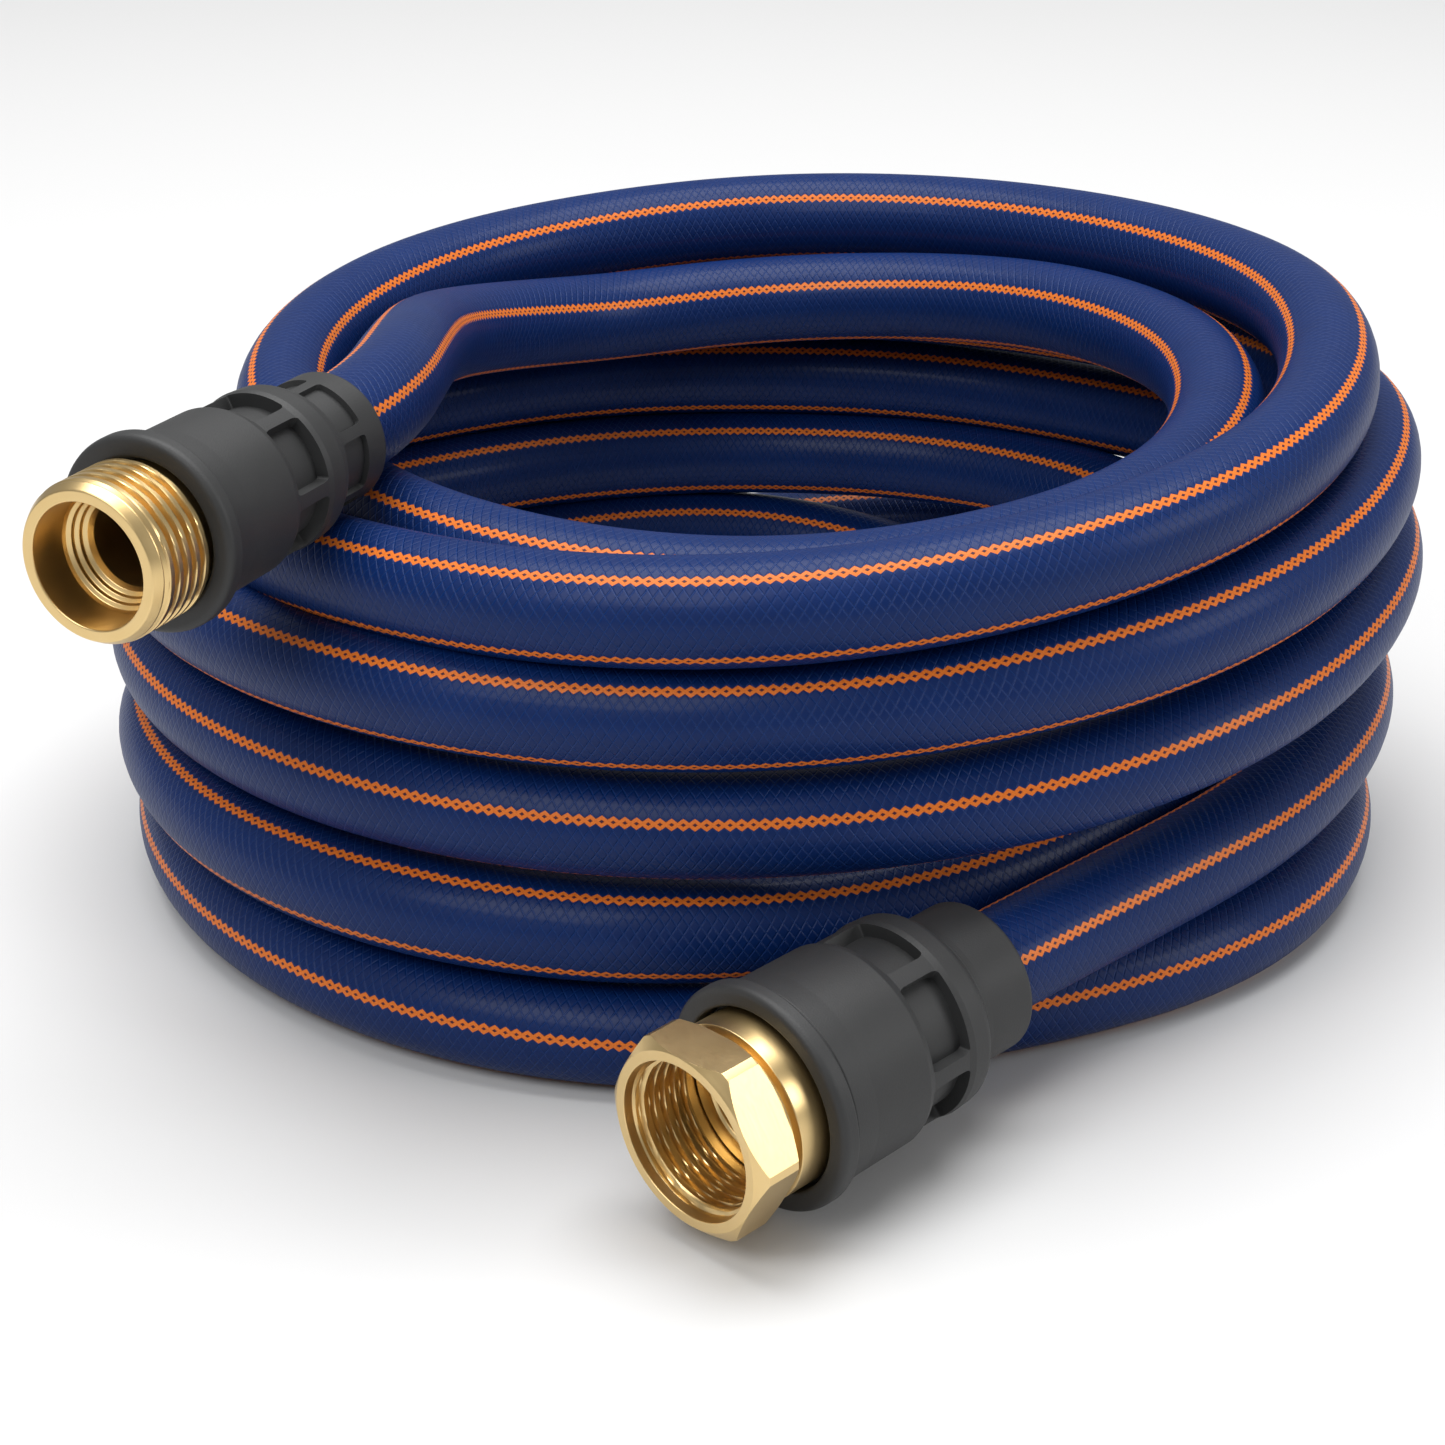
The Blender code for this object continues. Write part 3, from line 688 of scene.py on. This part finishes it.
# %% [markdown]
# ## The collars
# Each collar is moulded over the joint between brass and hose. From the front it has a fat lip, a
# fine parting line, a smooth barrel, a waist with six windows down to an inner sleeve, a bulging
# ring, a small bead and a plain sleeve round the hose. The windows have rounded corners, so their
# cutters do too.
# %% Collars
BARREL_LENGTH, WAIST_LENGTH, REAR_RING_LENGTH = 22.3, 9.4, 7.3
WAIST_DROP, WINDOW_DEPTH, WINDOW_MARGIN = 0.8, 2.3, 0.3
WINDOWS, WINDOW_SWEEP, WINDOW_CORNER = 6, 50.0, 1.5
SLEEVE_CLEARANCE = 0.3
SEAM_BEHIND_LIP = 4.1


def window_cutter(floor, front, back, start, sweep, corner):
    """Block between two depths and two angles, with rounded corners and a round floor."""
    outside = floor + 12.0
    bm = bmesh.new()
    angle = radians(start)
    square = ((floor, front), (outside, front), (outside, back), (floor, back))
    verts = [bm.verts.new((r * cos(angle) * MM, r * sin(angle) * MM, -d * MM)) for r, d in square]
    face = bm.faces.new(verts)
    bmesh.ops.spin(bm, geom=[face, *face.edges, *face.verts], cent=(0, 0, 0), axis=(0, 0, 1),
                   angle=radians(sweep), steps=20, use_duplicate=False)
    bmesh.ops.recalc_face_normals(bm, faces=bm.faces)
    ends = []
    for edge in bm.edges:
        a, b = edge.verts
        radial = abs(a.co.z - b.co.z) < 1e-7 and abs(a.co.xy.length - b.co.xy.length) > 5 * MM
        turned = degrees(atan2(a.co.y, a.co.x)) - start
        at_end = min(abs(turned % 360), abs(turned % 360 - sweep), abs(turned % 360 - 360)) < 0.5
        if radial and at_end:
            ends.append(edge)
    bmesh.ops.bevel(bm, geom=ends, offset=corner * MM, segments=4, profile=0.5, affect="EDGES")
    bmesh.ops.remove_doubles(bm, verts=bm.verts, dist=0.001 * MM)
    bmesh.ops.recalc_face_normals(bm, faces=bm.faces)
    mesh = bpy.data.meshes.new("window")
    bm.to_mesh(mesh)
    bm.free()
    return mesh


def windows(floor, front, back, first, corner=WINDOW_CORNER):
    starts = [first + 360 / WINDOWS * i for i in range(WINDOWS)]
    return [window_cutter(floor, front, back, start, WINDOW_SWEEP, corner) for start in starts]


def collar(name, lip_start, lip_r, barrel_r, sleeve_r, length, recess_r, recess_end, extra=()):
    barrel_end = lip_start + BARREL_LENGTH
    waist_end = barrel_end + WAIST_LENGTH
    step = waist_end + REAR_RING_LENGTH
    waist_r = barrel_r - WAIST_DROP
    seam = lip_start + SEAM_BEHIND_LIP
    corners = [
        (lip_r, lip_start, 2.4), (lip_r, seam - 0.9, 0.5), (barrel_r + 0.55, seam - 0.35, 0.2),
        (barrel_r + 0.15, seam, 0.1), (barrel_r + 0.3, seam + 0.3, 0.2), (barrel_r, seam + 5.0, 2.0),
        (barrel_r - 0.1, barrel_end - 1.0, 1.2), (waist_r, barrel_end + 0.6, 0.8),
        (waist_r - 0.05, waist_end - 0.5, 0.5), (waist_r + 0.25, waist_end + 0.8, 0.8),
        (waist_r, waist_end + 4.6, 2.0), (sleeve_r + 1.3, step - 0.4, 0.8),
        (sleeve_r + 0.75, step, 0.3), (sleeve_r + 0.75, step + 0.5, 0.2),
        (sleeve_r + 0.1, step + 0.9, 0.2),
        (sleeve_r, step + 2.2, 0.5), (sleeve_r, length, 0.9),
        (HOSE_R + SLEEVE_CLEARANCE, length, 0.3), (HOSE_R + SLEEVE_CLEARANCE, STEM_END, 0.1),
        (STEM_R + SLEEVE_CLEARANCE, STEM_END, 0.1), (STEM_R + SLEEVE_CLEARANCE, recess_end, 0.1),
        (recess_r, recess_end, 0.1), (recess_r, lip_start, 0.7),
    ]
    blank = lathe(name, rounded(corners, 6), steps=120)
    floor = waist_r - WINDOW_DEPTH
    front, back = barrel_end + WINDOW_MARGIN, waist_end - WINDOW_MARGIN
    cutters = windows(floor, front, back, (360 / WINDOWS - WINDOW_SWEEP) / 2)
    for cut in extra:
        cutters += windows(*cut)
    return carved(blank, cutters, 0.35, 28, (barrel_end - 0.5, length - 1.0), HOSE_R + 0.8)


FEMALE_LIP_START, FEMALE_LIP_R, FEMALE_BARREL_R, FEMALE_SLEEVE_R = 15.8, 19.7, 18.2, 13.5
female_mesh = collar("female_collar", FEMALE_LIP_START, FEMALE_LIP_R, FEMALE_BARREL_R, FEMALE_SLEEVE_R,
                     FEMALE_LENGTH, NUT_BAND_R + 0.7, NUT_LENGTH + 0.6)
female_collar = fitted("female_collar_moulded", female_mesh, female_place, plastic, "hose",
                       "female_collar")

MALE_LIP_START, MALE_LIP_R, MALE_BARREL_R, MALE_SLEEVE_R = 14.6, 16.6, 14.7, 11.5
MALE_CREST_R, MALE_ROOT_R = 13.495, 12.2
male_step = MALE_LIP_START + BARREL_LENGTH + WAIST_LENGTH + REAR_RING_LENGTH
male_rear = (MALE_SLEEVE_R - 1.0, male_step + 1.4, MALE_LENGTH - 5.6, 180 / WINDOWS, 1.0)
male_mesh = collar("male_collar", MALE_LIP_START, MALE_LIP_R, MALE_BARREL_R, MALE_SLEEVE_R,
                   MALE_LENGTH, MALE_CREST_R - 0.6, MALE_LIP_START + 2.6, extra=[male_rear])
male_collar = fitted("male_collar_moulded", male_mesh, male_place, plastic, "hose", "male_collar")

# %% [markdown]
# ## The male thread
# The male end is one turned brass piece: a flat rim, a smooth cone that leads into five turns of
# thread, and inside it a wide counterbore with three small steps before the bore.
# %% Male fitting
MALE_FACE_R, MALE_HOLE_R, MALE_HOLE_DEPTH, MALE_THREAD_START = 12.4, 10.5, 7.0, 2.6


def male_fitting():
    thread_end = MALE_THREAD_START + 5.2 * THREAD_PITCH
    neck_r, neck_end = MALE_ROOT_R - 0.2, MALE_LIP_START + 2.0
    inner_steps = []
    for i in range(3):
        depth = MALE_HOLE_DEPTH + 3.2 - i * 1.1
        radius = STEM_BORE_R + 0.5 + i * 0.75
        inner_steps += [(radius, depth, 0.25), (radius + 0.75, depth - 0.35, 0.25)]
    corners = [
        (MALE_FACE_R, 0.0, 0.4), (MALE_CREST_R - 0.1, MALE_THREAD_START - 0.8, 0.4),
        *threaded(MALE_THREAD_START, thread_end, MALE_ROOT_R), (neck_r, thread_end + 0.3, 0.1),
        (neck_r, neck_end, 0.2), (STEM_R, neck_end, 0.2), (STEM_R, STEM_END - 0.3, 0.2),
        (STEM_BORE_R, STEM_END - 0.3, 0.2), (STEM_BORE_R, MALE_HOLE_DEPTH + 4.2, 0.4), *inner_steps,
        (MALE_HOLE_R - 0.3, MALE_HOLE_DEPTH, 0.3), (MALE_HOLE_R, 0.0, 0.3),
    ]
    move = thread_form(MALE_ROOT_R, MALE_CREST_R, MALE_THREAD_START, thread_end, 1.0)
    return lathe("male_fitting", rounded(corners), move=move)


male_brass = fitted("male_fitting_turned", male_fitting(), male_place, brass, "hose", "male_fitting")

# %% [markdown]
# ## The floor
# The photograph is a plain studio picture on white, so the coil rests on a wide pale floor that
# fills the whole view.
# %% Floor
FLOOR_HALF = 4.0
floor_mesh = bpy.data.meshes.new("floor")
corners = [(x * FLOOR_HALF, y * FLOOR_HALF, 0.0) for x, y in ((-1, -1), (1, -1), (1, 1), (-1, 1))]
floor_mesh.from_pydata(corners, [], [(0, 1, 2, 3)])
floor_paint = Paint("pale_floor", Base_Color=(0.62, 0.62, 0.62, 1.0), Roughness=0.8)
floor_mesh.materials.append(floor_paint.material)
floor = bpy.data.objects.new("floor", floor_mesh)
scene.collection.objects.link(floor)
print("floor", 2 * FLOOR_HALF, "m wide")

# %% [markdown]
# ## The light
# An even white surround and three large soft lamps give the long soft highlights on the jacket and
# the bright edges of the brass.
# %% Lights
SURROUND = 0.32
LIT_POINT = (0.0, 0.0, 0.05)
LAMPS = [
    # name, place, width and height in metres, and power in watts
    ("overhead", (0.0, 0.25, 1.5), 1.6, 1.2, 34.0),
    ("key", (-0.5, -0.75, 0.95), 0.8, 0.6, 7.0),
    ("right_fill", (1.2, -0.3, 0.55), 0.5, 0.5, 4.0),
]


def softbox(name, place, width, height, power):
    """Large soft lamp that faces the coil."""
    data = bpy.data.lights.new(name, "AREA")
    data.shape = "RECTANGLE"
    data.size, data.size_y, data.energy = width, height, power
    made = bpy.data.objects.new(name, data)
    made.location = place
    made.rotation_euler = (Vector(place) - Vector(LIT_POINT)).to_track_quat("Z", "Y").to_euler()
    scene.collection.objects.link(made)


world = bpy.data.worlds.new("surround")
world.use_nodes = True
background = world.node_tree.nodes["Background"]
background.inputs["Color"].default_value = (1.0, 1.0, 1.0, 1.0)
background.inputs["Strength"].default_value = SURROUND
scene.world = world
for lamp in LAMPS:
    softbox(*lamp)
scene.view_settings.view_transform = "Standard"
